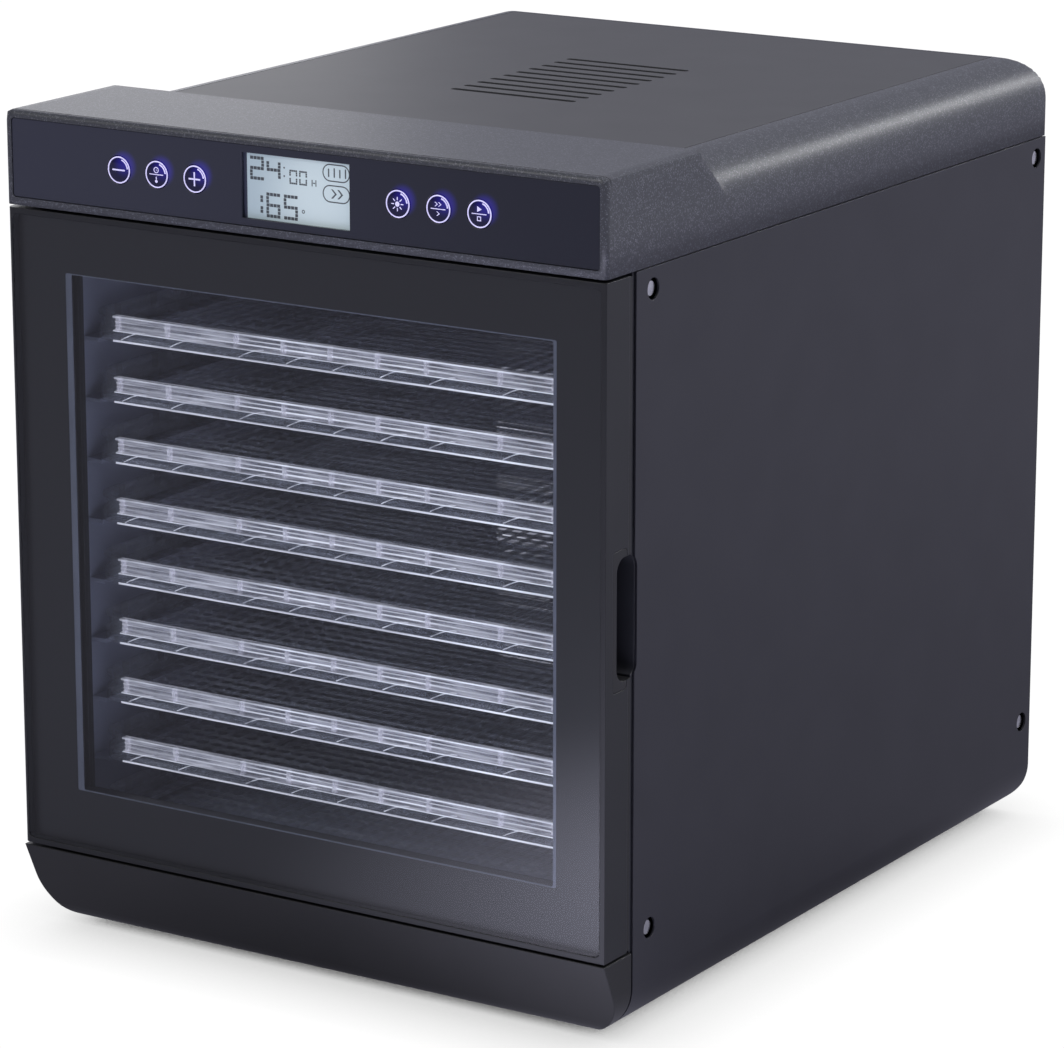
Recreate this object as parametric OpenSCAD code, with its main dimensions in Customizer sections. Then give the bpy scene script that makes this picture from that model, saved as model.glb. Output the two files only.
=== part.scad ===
// Cabinet food dehydrator with a glass door and nine slide-in trays.
// Millimetres, +Z up. The origin is the bottom centre of the whole machine:
// x = 0 is the middle, y = 0 half way between the front and the back,
// z = 0 is the surface that the feet stand on. The door faces -Y.

/* [Cabinet] */
// Width over the side panels
body_w = 345; // [320:1:420]
// Depth from the door face to the back edge of the side panels
body_d = 445; // [400:1:540]
// Gap that the feet leave under the base
foot_h = 4; // [3:0.5:8]
// Height of the base moulding
base_h = 42; // [34:1:52]
// Height of the door
door_h = 327.5; // [320:0.5:400]
// Height of the head above the door
head_h = 47; // [44:0.5:58]
// Gap above and below the door
door_seam = 1.5; // [1:0.1:2.5]
// Wall of the plastic mouldings
wall = 2.5; // [2:0.1:3]

/* [Head and shell] */
// Depth of the raised head from front to step
head_d = 84.5; // [70:0.5:100]
// How far the rear top lies below the head top
step_h = 5; // [3:0.5:8]
// Radius of the long shoulders beside the top panel
shoulder_r = 23; // [18:0.5:27]
// Radius of the top back edge
rear_r = 16; // [10:0.5:20]
// Length of each vent slot in the top panel
vent_l = 74; // [50:1:90]
// Number of vent slots
vent_n = 10; // [6:1:12]
// Distance between vent slots
vent_pitch = 12.3; // [10:0.1:13]

/* [Base and side panels] */
// Thickness of the steel side sheets
sheet = 1.2; // [0.8:0.1:1.6]
// Radius of the long lower edges
skirt_r = 24; // [16:0.5:26]
// Setback of the front apron for each millimetre of drop
apron_slope = 0.45; // [0.2:0.05:0.6]
// Distance from the front face to the side sheets
sheet_setback = 26.2; // [25:0.1:30]

/* [Door] */
// Thickness of the door
door_t = 23; // [21:0.5:24]
// Distance from the edge of the glass to the edge of the door
glass_inset = 3; // [2:0.1:5]
// Thickness of the glass
glass_t = 4; // [3:0.1:5]
// Width of the frame beside the window
stile_w = 30.5; // [28:0.5:36]
// Diameter of the two hinge pins
pin_d = 6; // [4:0.1:7]
// Height of the finger pocket in the door edge
pocket_h = 60; // [45:1:80]

/* [Trays] */
// Number of trays
tray_n = 9; // [9:9]
// Distance from one tray to the next
tray_pitch = 31.1; // [30:0.1:38]
// Width of a tray
tray_w = 295; // [250:1:296]
// Depth of a tray
tray_d = 352; // [300:1:380]
// Height of the rim of a tray
tray_h = 13; // [10:0.5:18]
// Radius of the tray corners
tray_r = 18; // [10:0.5:24]
// Height of the lowest tray above the chamber floor
tray_lift = 5; // [4:0.5:12]

/* [Controls] */
// Diameter of a button
button_d = 13.5; // [10:0.1:16]
// Distance between buttons
button_pitch = 22.6; // [18:0.1:24]
// Distance from the middle to the nearest button
button_x = 58.3; // [54:0.1:64]
// How far a button goes in
button_travel = 0.8; // [0.4:0.1:1.2]
// Width of the display window
lcd_w = 62; // [50:1:70]
// Height of the display window
lcd_h = 31.6; // [24:0.1:34]

/* [Fan and heater] */
// Diameter of the fan
fan_d = 150; // [120:1:170]
// Number of fan blades
blade_n = 7; // [5:1:9]
// Diameter of the heating coil ring
heater_d = 184; // [170:1:200]
// Diameter of the heating coil winding
coil_d = 7; // [5:0.1:8]

/* [Clearances] */
// Gap around moving pieces
run_gap = 0.5; // [0.4:0.05:1]
// Gap around pieces that are fixed together
fit_gap = 0.15; // [0.1:0.05:0.3]

/* [Hidden] */
$fn = 64;
far = 1000;

front = -body_d / 2;
back = body_d / 2;
half_w = body_w / 2;
shell_back = back - 1;

z_base = foot_h;
z_deck = z_base + base_h;
z_door = z_deck + door_seam;
z_door_top = z_door + door_h;
z_head = z_door_top + door_seam;
z_top = z_head + head_h;
z_shell = z_top - step_h;

sheet_front = front + sheet_setback;
door_back_y = front + door_t;
frame_front = door_back_y + 1.5;
frame_t = 6;
frame_back = frame_front + frame_t;

chamber_z0 = z_door + 6;
chamber_z1 = z_door_top - 24;
chamber_x = tray_w / 2 + 3;
tray_front = frame_front + 2;
tray_back = tray_front + tray_d;
baffle_y = tray_back + 8;

hinge_x = -half_w + door_t / 2;
hinge_y = front + door_t / 2;
pocket_z = z_door + 0.505 * door_h;
panel_z = z_head + 0.5 * head_h;

fan_y = baffle_y + 16;
fan_z = (chamber_z0 + chamber_z1) / 2;
motor_y = fan_y + 16;
motor_l = min(26, shell_back - wall - 5 - motor_y);

// ---------- shared shapes ----------

// Rectangle from two opposite corners
module area(x0, y0, x1, y1) {
    translate([x0, y0]) square([x1 - x0, y1 - y0]);
}

// Box from two opposite corners
module block(lo, hi) {
    translate(lo) cube([hi[0] - lo[0], hi[1] - lo[1], hi[2] - lo[2]]);
}

// Rectangle from two corners with four round corners
module round_area(x0, y0, x1, y1, r) {
    area(x0 + r, y0, x1 - r, y1);
    area(x0, y0 + r, x1, y1 - r);
    for (x = [x0 + r, x1 - r], y = [y0 + r, y1 - r]) translate([x, y]) circle(r);
}

// Outline drawn in x and z, pushed along y
module along_y(y0, y1) {
    translate([0, y1, 0]) rotate([90, 0, 0]) linear_extrude(y1 - y0) children();
}

// Outline drawn in y and z, pushed along x
module along_x(x0, x1) {
    translate([x0, 0, 0]) rotate([90, 0, 90]) linear_extrude(x1 - x0) children();
}

// Round bar or hole along y
module rod_y(x, z, y0, y1, dia) {
    translate([x, y1, z]) rotate([90, 0, 0]) cylinder(h = y1 - y0, d = dia);
}

// Round bar or hole along x
module rod_x(y, z, x0, x1, dia) {
    translate([x0, y, z]) rotate([0, 90, 0]) cylinder(h = x1 - x0, d = dia);
}

// Round bar or hole along z
module rod_z(x, y, z0, z1, dia) {
    translate([x, y, z0]) cylinder(h = z1 - z0, d = dia);
}

// The same thing on the left and on the right
module both_sides() {
    children();
    mirror([1, 0, 0]) children();
}

// ---------- base ----------

// Cross section of the skirt in x and z, drawn g inside the outer skin
module skirt_area(g, top) {
    area(-half_w + skirt_r, z_base + g, half_w - skirt_r, top);
    area(-half_w + g, z_base + skirt_r, half_w - g, top);
    for (s = [-1, 1]) translate([s * (half_w - skirt_r), z_base + skirt_r]) circle(skirt_r - g);
}

// Side view of the base in y and z, with the sloped apron and round toe
module apron_area(g, top) {
    toe_r = 12;
    toe_z = z_base + toe_r;
    slant = atan(apron_slope);
    toe_y = front + apron_slope * (z_deck - toe_z) + toe_r / cos(slant);
    difference() {
        area(front, z_base + g, shell_back, top);
        polygon([
            [front - 1, z_deck + 1],
            [front + g - apron_slope, z_deck + 1],
            [toe_y - (toe_r - g) * cos(slant), toe_z - (toe_r - g) * sin(slant)],
            [toe_y, z_base - 1],
            [front - 1, z_base - 1]
        ]);
    }
    intersection() {
        translate([toe_y, toe_z]) circle(toe_r - g);
        area(front, z_base + g, toe_y + 1, toe_z);
    }
}

module base() {
    lap = 1.5;
    color("#262627") difference() {
        intersection() {
            union() {
                along_y(front, sheet_front - lap) skirt_area(0, z_deck);
                along_y(front + 2, shell_back - wall - fit_gap) skirt_area(sheet + fit_gap, z_deck);
            }
            along_x(-half_w, half_w) apron_area(0, z_deck);
        }
        // inside of the tub, open at the top behind the deck
        intersection() {
            along_y(frame_back + 4, shell_back - 3 * wall) skirt_area(sheet + fit_gap + wall, z_deck + 1);
            along_x(-half_w, half_w) area(front, z_base + sheet + wall, back, z_deck + 1);
        }
        // inside of the apron, open at the bottom behind the toe
        along_y(frame_back - 8, frame_back + 1) skirt_area(sheet + 2 * wall, z_deck - 12);
        // lower hinge bush
        rod_z(hinge_x, hinge_y, z_deck - 9, z_deck + 1, pin_d + 5);
        // feet
        for (p = foot_spots()) rod_z(p[0], p[1], z_base - 1, z_base + sheet + wall - 1.5, foot_plug_d);
        // cold air slots under the fan
        for (i = [-4:4]) block([i * 14 - 3, back - 60, z_base - 1], [i * 14 + 3, back - 24, z_base + 8]);
        // pilot holes of the lower rear screws
        for (p = rear_screw_spots())
            rod_y(p[0], p[1], shell_back - wall - rear_screw_l - 1, back, rear_screw_hole_d);
    }
}

foot_plug_d = 16;
function foot_spots() = [
    for (x = [-1, 1], y = [front + 48, back - 34]) [x * (half_w - 44), y]
];

module feet() {
    foot_d = 22;
    color("#1b1b1c") for (p = foot_spots()) {
        rod_z(p[0], p[1], 0, z_base, foot_d);
        rod_z(p[0], p[1], z_base - 0.5, z_base + sheet + wall - 1.6, foot_plug_d - 2 * fit_gap);
    }
}

// ---------- steel side sheets ----------

screw_y = [sheet_front + 15, back - 10];
screw_z = [z_door_top - 9.5, z_base + skirt_r + 26];

module side_sheet() {
    heel_r = 14;
    difference() {
        intersection() {
            along_y(sheet_front, back) difference() {
                skirt_area(0, z_head - 0.6);
                skirt_area(sheet, z_head + 1);
                area(-half_w + skirt_r + 6, z_base - 1, far, z_head + 2);
            }
            along_x(-half_w - 1, 0) {
                area(sheet_front, z_base, back - heel_r, z_head);
                area(sheet_front, z_base + heel_r, back, z_head);
                translate([back - heel_r, z_base + heel_r]) circle(heel_r);
            }
        }
        for (y = screw_y, z = screw_z) rod_x(y, z, -half_w - 1, -half_w + 5, screw_hole_d);
        // cut that carries on the finger pocket
        mirror([1, 0, 0]) finger_pocket(0);
    }
}

module side_panel_left() {
    color("#3e3e42") side_sheet();
}

module side_panel_right() {
    color("#3e3e42") mirror([1, 0, 0]) side_sheet();
}

screw_hole_d = 10.5;
screw_head_d = 7;
side_screw_l = 8;
side_screw_d = 3.5;

module side_screws() {
    color("silver") both_sides() for (y = screw_y, z = screw_z) {
        rod_x(y, z, -half_w + sheet + 0.4, -half_w + sheet + 2, screw_head_d);
        rod_x(y, z, -half_w + sheet + 1, -half_w + sheet + side_screw_l, side_screw_d);
    }
}

// ---------- upper housing ----------

edge_r = 3;

// Side view of the raised head, g inside its skin; its back falls away at 45 degrees
module head_side_area(g) {
    rear_top = front + head_d - g;
    round_r = edge_r - min(g, edge_r - 0.5);
    difference() {
        area(front + g, z_head - 1, rear_top + head_h, z_top - g);
        translate([rear_top, z_top - g]) rotate(45) area(0, -far, far, far);
        difference() {
            area(front + g - 1, z_top - g - round_r, front + g + round_r, z_top + 1);
            translate([front + g + round_r, z_top - g - round_r]) circle(round_r);
        }
    }
}

// Front view of a box whose two upper corners are round
module arch_area(x, z, r) {
    area(-x, z_head - 1, x, z - r);
    area(-x + r, z_head - 1, x - r, z);
    for (s = [-1, 1]) translate([s * (x - r), z - r]) circle(r);
}

module housing_solid(g) {
    // rear body with its round shoulders
    intersection() {
        along_y(front + g, shell_back - g) arch_area(half_w - g, z_shell - g, shoulder_r - g);
        along_x(-half_w, half_w) {
            area(front, z_head - 1, shell_back - rear_r, z_shell);
            area(front, z_head - 1, shell_back - g, z_shell - rear_r);
            translate([shell_back - rear_r, z_shell - rear_r]) circle(rear_r - g);
        }
    }
    // raised head
    intersection() {
        along_x(-half_w + g, half_w - g) head_side_area(g);
        along_y(front, back) arch_area(half_w - g, z_top - g, max(edge_r - g, 0.5));
    }
}

top_x = half_w - shoulder_r - 1;
top_y0 = front + head_d + 1;
top_y1 = shell_back - rear_r - 3;
panel_w = body_w - 8;
panel_h = head_h - 8;
panel_t = 2;

module upper_housing() {
    lip = 6;
    color("#55565c") difference() {
        housing_solid(0);
        // nothing below the parting line
        block([-half_w - 1, front - 1, z_head - 2], [half_w + 1, back + 1, z_head]);
        difference() {
            housing_solid(wall);
            // floor of the head over the door, with the bush of the upper hinge
            block([-half_w, front, z_head - 1], [half_w, frame_back, z_head + wall]);
            rod_z(hinge_x, hinge_y, z_head, z_head + 12, pin_d + 10);
        }
        rod_z(hinge_x, hinge_y, z_head - 1, z_head + 9, pin_d + 5);
        // seat and opening of the control panel
        along_y(front - 1, panel_face + panel_t + 0.1)
            round_area(-panel_w / 2 - fit_gap, panel_z - panel_h / 2 - fit_gap,
                       panel_w / 2 + fit_gap, panel_z + panel_h / 2 + fit_gap, 2);
        block([-panel_w / 2 + lip, front - 1, panel_z - panel_h / 2 + 3],
              [panel_w / 2 - lip, front + 12, panel_z + panel_h / 2 - 3]);
        // seat and opening of the top panel
        block([-top_x - fit_gap, top_y0 - fit_gap, z_shell - 1.8],
              [top_x + fit_gap, top_y1 + fit_gap, z_shell + 1]);
        block([-top_x + lip, top_y0 + lip, z_shell - 8], [top_x - lip, top_y1 - lip, z_shell + 1]);
    }
}

module top_panel() {
    slot_w = 4.2;
    vent_y = 24;
    color("#4a4a4c") difference() {
        block([-top_x, top_y0, z_shell - 1.8 + 0.05], [top_x, top_y1, z_shell]);
        for (i = [0:vent_n - 1]) translate([0, vent_y + (i - (vent_n - 1) / 2) * vent_pitch, z_shell - 3])
            linear_extrude(6) round_area(-vent_l / 2, -slot_w / 2, vent_l / 2, slot_w / 2, slot_w / 2 - 0.01);
    }
}

// ---------- controls ----------

panel_face = front + 0.5;
board_y = panel_face + panel_t + 6;
function button_at(i) = (i < 3 ? -1 : 1) * (button_x + (i < 3 ? 2 - i : i - 3) * button_pitch);

module control_panel() {
    color("#22242c") difference() {
        along_y(panel_face, panel_face + panel_t)
            round_area(-panel_w / 2, panel_z - panel_h / 2, panel_w / 2, panel_z + panel_h / 2, 1.5);
        // holes of the buttons
        for (i = [0:5]) rod_y(button_at(i), panel_z, panel_face - 1, panel_face + panel_t + 1,
                              button_d + 2 * run_gap);
        // window of the display, with a thin clear skin in front of it
        block([-lcd_w / 2, panel_face + 0.8, panel_z - lcd_h / 2],
              [lcd_w / 2, panel_face + panel_t + 1, panel_z + lcd_h / 2]);
    }
}

module display() {
    rim = 3;
    y0 = panel_face + panel_t + fit_gap;
    color("#c8d6da") {
        block([-lcd_w / 2 + fit_gap, panel_face + 0.9, panel_z - lcd_h / 2 + fit_gap],
              [lcd_w / 2 - fit_gap, y0 + 1, panel_z + lcd_h / 2 - fit_gap]);
        block([-lcd_w / 2 - rim, y0, panel_z - 16.4], [lcd_w / 2 + rim, board_y, panel_z + 16.4]);
    }
}

module control_board() {
    color("#1f5c36") block([-120, board_y, panel_z - 16], [120, board_y + 1.6, panel_z + 16]);
}

module tact_switches() {
    color("#8a8d92") for (i = [0:5]) {
        block([button_at(i) - 3, board_y - 3, panel_z - 3], [button_at(i) + 3, board_y, panel_z + 3]);
        rod_y(button_at(i), panel_z, board_y - 3.6, board_y - 3, 3);
    }
}

// Button i: a domed key with a flange that keeps it in the panel, and a stem
module button_shape(i) {
    crown = 0.5;
    crown_r = (pow(button_d / 2, 2) + pow(crown, 2)) / (2 * crown);
    key_l = crown + panel_t + 0.4;
    flange_t = 0.8;
    stem_l = board_y - 3.6 - button_travel - 0.2 - panel_face + crown;
    color("#2c2c55") translate([button_at(i), panel_face - crown, panel_z]) rotate([-90, 0, 0])
        rotate_extrude() {
            intersection() {
                translate([0, crown_r]) circle(crown_r, $fn = 360);
                area(0, 0, button_d / 2, key_l);
            }
            area(0, key_l - 0.1, button_d / 2 + 1.5, key_l + flange_t);
            area(0, key_l, 1.5, stem_l);
        }
}

module button_minus() { button_shape(0); }
module button_mode() { button_shape(1); }
module button_plus() { button_shape(2); }
module button_warm() { button_shape(3); }
module button_speed() { button_shape(4); }
module button_power() { button_shape(5); }

module power_board() {
    z0 = chamber_z1 + 9;
    color("#2d6b43") block([-60, front + 100, z0], [60, front + 200, z0 + 1.6]);
    color("#202022") {
        block([-50, front + 110, z0 + 1.6], [-22, front + 134, z0 + 20]);
        block([-10, front + 112, z0 + 1.6], [8, front + 128, z0 + 17]);
        rod_z(30, front + 125, z0 + 1.6, z0 + 22, 16);
        block([20, front + 160, z0 + 1.6], [48, front + 186, z0 + 14]);
    }
}

// ---------- front frame, chamber and racks ----------

module front_frame() {
    color("#1d1d1f") difference() {
        block([-half_w + sheet + fit_gap, frame_front, z_deck + fit_gap],
              [half_w - sheet - fit_gap, frame_back, z_head - fit_gap]);
        block([-chamber_x, frame_front - 1, chamber_z0], [chamber_x, frame_back + 1, chamber_z1]);
        // relief that the hinge edge of the door turns into
        block([-half_w, frame_front - 1, z_deck], [-chamber_x - 3, frame_front + 3.2, z_head]);
        // seats of the catch magnets
        for (z = catch_z) rod_y(catch_x, z, frame_front - 1, frame_front + 4, magnet_d + 2 * fit_gap);
        finger_pocket(0);
    }
}

// Upper and lower halves of one side rack: a wall with a ledge under each tray
rack_t = 2.5;
ledge_w = 9;
function tray_z(i) = chamber_z0 + tray_lift + (tray_n - i) * tray_pitch;

module rack_area() {
    area(-chamber_x - rack_t, chamber_z0, -chamber_x, chamber_z1);
    for (i = [1:tray_n]) {
        top = tray_z(i) - 0.4;
        area(-chamber_x - 0.1, top - 2.2, -chamber_x + ledge_w, top);
    }
}

module rack_left() {
    color("#38383b") along_y(frame_back + 0.2, baffle_y - 0.2) rack_area();
}

module rack_right() {
    color("#38383b") mirror([1, 0, 0]) along_y(frame_back + 0.2, baffle_y - 0.2) rack_area();
}

module chamber_plate(z0) {
    block([-chamber_x - rack_t, frame_back + 0.2, z0], [chamber_x + rack_t, baffle_y - 0.2, z0 + rack_t]);
}

module chamber_ceiling() {
    color("#38383b") chamber_plate(chamber_z1 + 0.1);
}

module chamber_floor() {
    color("#38383b") chamber_plate(chamber_z0 - rack_t - 0.1);
}

// ---------- air mover at the back ----------

grille_t = 2;
sensor_x = heater_d / 2 + 22;
sensor_z = fan_z - 60;
sensor_d = 4.9;

module fan_grille() {
    hole = 6.4;
    step = 10;
    reach = floor(fan_d / 2 / step);
    color("#2f2f32") difference() {
        block([-chamber_x - rack_t - 3, baffle_y, chamber_z0 - 6],
              [chamber_x + rack_t + 3, baffle_y + grille_t, chamber_z1 + 6]);
        rod_y(sensor_x, sensor_z, baffle_y - 1, baffle_y + grille_t + 1, sensor_d + 2 * fit_gap);
        for (i = [-reach:reach], j = [-reach:reach])
            if (norm([i, j]) * step < fan_d / 2 && norm([i, j]) > 1.5)
                rod_y(i * step, fan_z + j * step, baffle_y - 1, baffle_y + grille_t + 1, hole);
    }
}

module fan_blades() {
    hub_d = 34;
    color("#b9bcc0") {
        difference() {
            rod_y(0, fan_z, fan_y - 5, fan_y + 5, hub_d);
            rod_y(0, fan_z, fan_y - 6, fan_y + 6, 6);
        }
        for (k = [0:blade_n - 1]) translate([0, fan_y, fan_z]) rotate([0, k * 360 / blade_n, 0])
            rotate([0, 0, 28]) intersection() {
                translate([-15, -0.6, hub_d / 2 - 1.5]) cube([30, 1.2, (fan_d - hub_d) / 2]);
                translate([0, 5, 0]) rotate([90, 0, 0]) cylinder(h = 10, d = fan_d);
            }
    }
}

module fan_shaft() {
    color("silver") rod_y(0, fan_z, fan_y - 9, motor_y + 6, 6 - 0.02);
}

module fan_nut() {
    color("goldenrod") difference() {
        translate([0, fan_y - 5.1, fan_z]) rotate([90, 0, 0]) cylinder(h = 3.5, d = 11, $fn = 6);
        rod_y(0, fan_z, fan_y - 10, fan_y, 6);
    }
}

motor_w = 62;

module fan_motor() {
    color("#a7a9ad") difference() {
        union() {
            block([-motor_w / 2, motor_y, fan_z - 26], [motor_w / 2, motor_y + motor_l - 8, fan_z + 26]);
            rod_y(0, fan_z, motor_y, motor_y + motor_l, 40);
        }
        rod_y(0, fan_z, motor_y - 1, motor_y + 7, 6 + 2 * run_gap);
    }
}

module motor_bracket() {
    arm = 95;
    y0 = motor_y - 2.2;
    color("#8d9095") difference() {
        union() {
            block([-arm, y0, fan_z - 9], [arm, y0 + 2, fan_z + 9]);
            for (s = [-1, 1]) {
                x = s * arm - (s > 0 ? 2 : 0);
                block([x, y0, fan_z - 9], [x + 2, shell_back - wall - 0.2, fan_z + 9]);
            }
        }
        rod_y(0, fan_z, y0 - 1, y0 + 3, 16);
    }
}

module heater_frame() {
    y0 = baffle_y + 4;
    outer = heater_d + coil_d + 12;
    color("#c9bfa6") difference() {
        rod_y(0, fan_z, y0, y0 + 3, outer);
        rod_y(0, fan_z, y0 - 1, y0 + 4, heater_d - coil_d - 12);
    }
    // posts that hold the ring to the grille
    color("#c9bfa6") for (a = [45:90:315])
        rod_y(cos(a) * outer / 2 * 0.96, fan_z + sin(a) * outer / 2 * 0.96, baffle_y + 2.1, y0, 6);
}

module heater_coil() {
    y0 = baffle_y + 7.1;
    color("#7a6a5c") difference() {
        translate([0, y0 + coil_d / 2, fan_z]) rotate([90, 0, 0])
            rotate_extrude($fn = 96) translate([heater_d / 2, 0]) circle(coil_d / 2);
        // break between the two ends
        block([-6, y0 - 1, fan_z - heater_d], [6, y0 + coil_d + 1, fan_z]);
    }
}

module thermal_cutout() {
    x = heater_d / 2 + 24;
    color("#c7c9cc") rod_y(x, fan_z + 40, baffle_y + 2.1, baffle_y + 8, 16);
    color("#c7c9cc") block([x - 3, baffle_y + 7.9, fan_z + 37], [x + 3, baffle_y + 12, fan_z + 43]);
}

module temperature_sensor() {
    color("#d8d8d6") rod_y(sensor_x, sensor_z, baffle_y - 8, baffle_y + grille_t + 6, sensor_d);
}

module rear_panel() {
    color("#2b2b2d") difference() {
        block([-half_w + sheet + fit_gap, shell_back - wall, z_base + skirt_r],
              [half_w - sheet - fit_gap, shell_back, z_head - 0.3]);
        for (j = [-7:7]) let (span = sqrt(pow(62, 2) - pow(j * 8, 2)))
            block([-span, shell_back - wall - 1, fan_z + j * 8 - 2], [span, back, fan_z + j * 8 + 2]);
        rod_y(gland_x, gland_z, shell_back - wall - 1, back, gland_d + 2 * fit_gap);
        for (p = rear_screw_spots()) rod_y(p[0], p[1], shell_back - wall - 1, back, rear_screw_hole_d);
    }
}

gland_x = -half_w + 44;
gland_d = 16;
gland_flange_d = gland_d + 8;
gland_z = z_deck + gland_flange_d / 2 + 3;
cord_d = 7;

module cord_gland() {
    color("#18181a") difference() {
        union() {
            rod_y(gland_x, gland_z, shell_back - wall - 8, back, gland_d);
            rod_y(gland_x, gland_z, shell_back - wall - 4, shell_back - wall - fit_gap, gland_flange_d);
        }
        rod_y(gland_x, gland_z, shell_back - wall - 9, back + 1, cord_d);
    }
}

function rear_screw_spots() = [
    for (x = [-1, 1], z = [z_base + skirt_r + 8, fan_z, z_head - 10]) [x * (half_w - 12), z]
];

rear_screw_l = 8;
rear_screw_d = 3.2;
rear_screw_hole_d = rear_screw_d + 2 * fit_gap + 0.1;

module rear_screws() {
    color("#3a3a3c") for (p = rear_screw_spots()) {
        rod_y(p[0], p[1], shell_back + 0.05, shell_back + 0.9, 2 * rear_screw_d);
        rod_y(p[0], p[1], shell_back - wall - rear_screw_l, shell_back + 0.1, rear_screw_d);
    }
}

module wiring() {
    x = chamber_x + rack_t + 9;
    loom = 5;
    color("#7d2222") {
        rod_z(x, baffle_y + 22, fan_z - 20, chamber_z1 + 14, loom);
        rod_y(x, chamber_z1 + 14, front + 214, baffle_y + 22, loom);
        translate([x, baffle_y + 22, chamber_z1 + 14]) sphere(loom / 2);
    }
}

// ---------- door ----------

catch_x = half_w - 12;
catch_z = [z_door + 46, z_door_top - 46];
magnet_d = 9;
window_x = half_w - stile_w;
window_z0 = z_door + stile_w + 1;
window_z1 = z_door_top - stile_w;
glass_x = half_w - glass_inset;
glass_y = front + 0.3;
flange_y = glass_y + glass_t + 0.6;
back_t = 2.5;

// Finger pocket cut into the right edge, through door, frame and sheet
module finger_pocket(g) {
    depth = 12;
    y0 = front + 10;
    y1 = sheet_front + 2;
    along_x(half_w - depth, half_w + 1)
        round_area(y0 - g, pocket_z - pocket_h / 2 - g, y1 + g, pocket_z + pocket_h / 2 + g, 7);
}

// Plan view of the door; its hinge edge is round about the pin
module door_plan(g, y1) {
    nose_r = 3;
    heel = min(door_t / 2, 11.5);
    difference() {
        area(-half_w + g, front + g, half_w - g, y1);
        difference() {
            area(-half_w - 1, front - 1, -half_w + nose_r, front + nose_r);
            translate([-half_w + nose_r, front + nose_r]) circle(nose_r - min(g, nose_r - 0.5));
        }
        difference() {
            area(-half_w - 1, hinge_y, hinge_x, door_back_y + 1);
            translate([hinge_x, hinge_y]) circle(heel - g);
        }
    }
}

module door_frame() {
    reveal = 7;
    color("#2a2a2d") difference() {
        translate([0, 0, z_door]) linear_extrude(door_h) door_plan(0, door_back_y - back_t - 0.1);
        // seat of the glass
        along_y(front - 1, glass_y + glass_t + 0.6)
            round_area(-glass_x - fit_gap, z_door + glass_inset - fit_gap,
                       glass_x + fit_gap, z_door_top - glass_inset + fit_gap, 3);
        // window
        block([-window_x, front, window_z0], [window_x, back, window_z1]);
        // hollow of the moulding, open at the back
        difference() {
            translate([0, flange_y + wall, z_door + wall + 1]) linear_extrude(door_h - 2 * wall - 2)
                area(hinge_x + 9, 0, half_w - wall, door_t);
            block([-window_x - wall, front, window_z0 - wall],
                  [window_x + wall, flange_y + reveal, window_z1 + wall]);
            // pocket wall
            finger_pocket(wall);
        }
        // bores of the pins
        rod_z(hinge_x, hinge_y, z_door - 1, z_door + 14, pin_d + 2 * fit_gap);
        rod_z(hinge_x, hinge_y, z_door_top - 14, z_door_top + 1, pin_d + 2 * fit_gap);
        finger_pocket(0);
        // seat of the grip pad
        along_x(half_w - grip_t - grip_sunk - fit_gap, half_w + 1) grip_area(fit_gap);
    }
}

module door_back() {
    open_x = window_x + 4;
    color("#242426") difference() {
        intersection() {
            translate([0, 0, z_door + 0.5]) linear_extrude(door_h - 1) door_plan(0.3, door_back_y);
            block([-half_w, door_back_y - back_t, z_door], [half_w, door_back_y, z_door_top]);
        }
        block([-open_x, front, window_z0 - 4], [open_x, back, window_z1 + 4]);
        for (z = catch_z) block([catch_x - 8, front, z - 8], [catch_x + 8, back, z + 8]);
        finger_pocket(0);
    }
}

module catch_plates() {
    color("silver") for (z = catch_z)
        block([catch_x - 8 + fit_gap, door_back_y - 1.4, z - 8 + fit_gap],
              [catch_x + 8 - fit_gap, door_back_y - 0.2, z + 8 - fit_gap]);
}

module catch_magnets() {
    color("#9a9a9e") for (z = catch_z) rod_y(catch_x, z, frame_front + 0.1, frame_front + 3.9, magnet_d);
}

module door_glass() {
    color("#8fa0a8", 0.35) along_y(glass_y, glass_y + glass_t)
        round_area(-glass_x, z_door + glass_inset, glass_x, z_door_top - glass_inset, 3);
}

module glass_adhesive() {
    inner = window_x + 3;
    color("#101012") along_y(glass_y + glass_t + 0.05, flange_y - 0.05) difference() {
        round_area(-glass_x + 1, z_door + glass_inset + 1, glass_x - 1, z_door_top - glass_inset - 1, 3);
        round_area(-inner, window_z0 - 3, inner, window_z1 + 3, 4);
    }
}

// Outline of the grip pad on the edge of the door, g outside its own edge
grip_t = 1.2;
grip_sunk = 0.1;

module grip_area(g) {
    reach = pocket_h / 2 + 4 + g;
    round_area(front + 6.6 - g, pocket_z - reach, front + 19 + g, pocket_z + reach, 2 + g);
}

module door_grip() {
    color("#1c1c1e") difference() {
        along_x(half_w - grip_t - grip_sunk, half_w - grip_sunk) grip_area(0);
        finger_pocket(0);
    }
}

module hinge_pins() {
    color("silver") {
        rod_z(hinge_x, hinge_y, z_deck - 7, z_door + 13.5, pin_d);
        rod_z(hinge_x, hinge_y, z_door_top - 13.5, z_head + 7, pin_d);
    }
}

module hinge_bushes() {
    color("#d9d4c4") {
        for (z = [z_deck - 9, z_head + 0.3]) difference() {
            rod_z(hinge_x, hinge_y, z + 0.1, z + 8.6, pin_d + 5 - 2 * fit_gap);
            rod_z(hinge_x, hinge_y, z - 1, z + 10, pin_d + 2 * run_gap);
        }
    }
}

// ---------- trays ----------

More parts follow.
